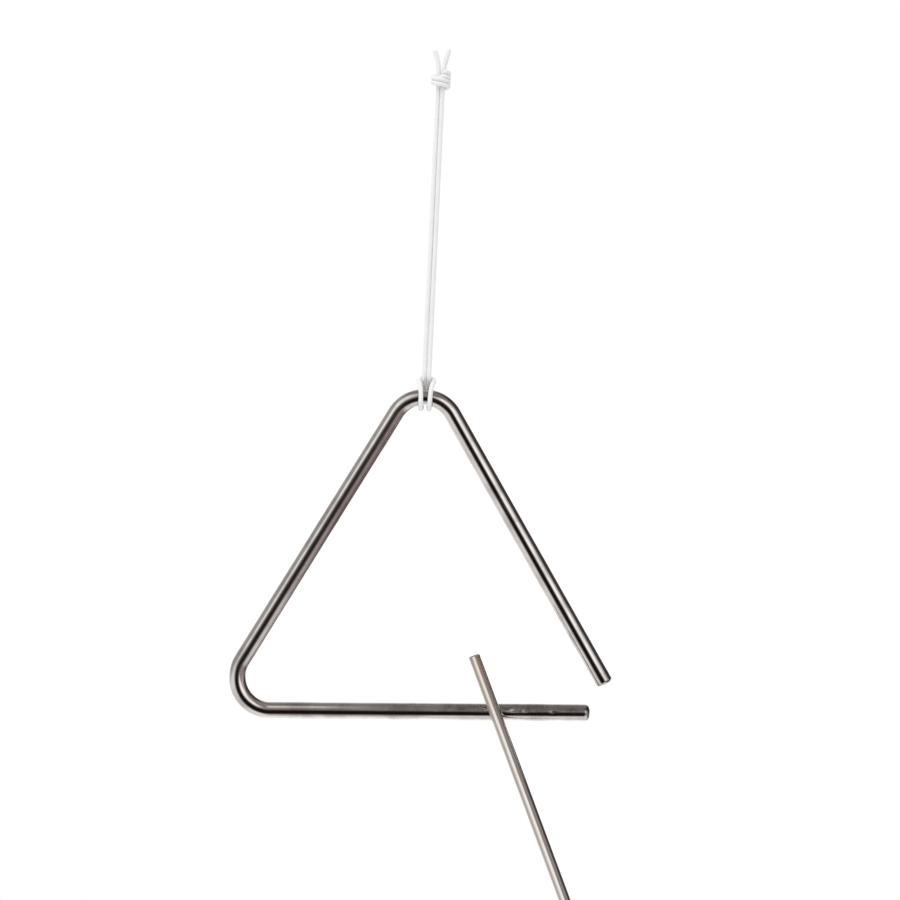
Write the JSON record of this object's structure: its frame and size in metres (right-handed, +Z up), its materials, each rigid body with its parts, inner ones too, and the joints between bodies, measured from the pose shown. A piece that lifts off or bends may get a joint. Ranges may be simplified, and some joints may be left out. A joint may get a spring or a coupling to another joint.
{
  "type": "triangle instrument",
  "caption": "Bent round steel rod, open at a lower corner, hung by a girth hitch from a doubled white cord, with a straight steel rod as its beater; it rings when struck.",
  "frame": {"origin": "middle of the cord's knot, where fingers or a hook hold it", "axes": "+Z up along the taut cord, +X to the triangle's open corner, +Y away from the beater's side"},
  "size_m": [0.1601, 0.0144, 0.3855],
  "materials": {
    "plated_bar": "polished nickel plate",
    "plated_beater": "polished nickel plate",
    "white_cord": "smooth braided nylon"
  },
  "bodies": {
    "grip": {"cord_knot": "white_cord"},
    "cord": {"strand_left": "white_cord", "strand_right": "white_cord"},
    "hitch": {"cord_hitch": "white_cord"},
    "triangle": {"triangle_bar": "plated_bar"},
    "beater": {"beater": "plated_beater"}
  },
  "joints": [
    {"name": "cord_swing", "type": "hinge", "parent": "grip", "child": "cord", "pos_m": [0, 0, 0], "axis": [0, 1, 0], "range_deg": [-40, 40]},
    {"name": "triangle_twist", "type": "hinge", "parent": "cord", "child": "hitch", "pos_m": [0, 0, -0.13], "axis": [0, 0, 1], "range_deg": [0, 150]},
    {"name": "triangle_tilt", "type": "hinge", "parent": "hitch", "child": "triangle", "pos_m": [0, 0, -0.13], "axis": [1, 0, 0], "range_deg": [0, 50]},
    {"name": "beater_strike", "type": "hinge", "parent": "grip", "child": "beater", "pos_m": [0.0507, -0.0062, -0.29487], "axis": [0.9198, 0, 0.3923], "range_deg": [0, 50]}
  ]
}
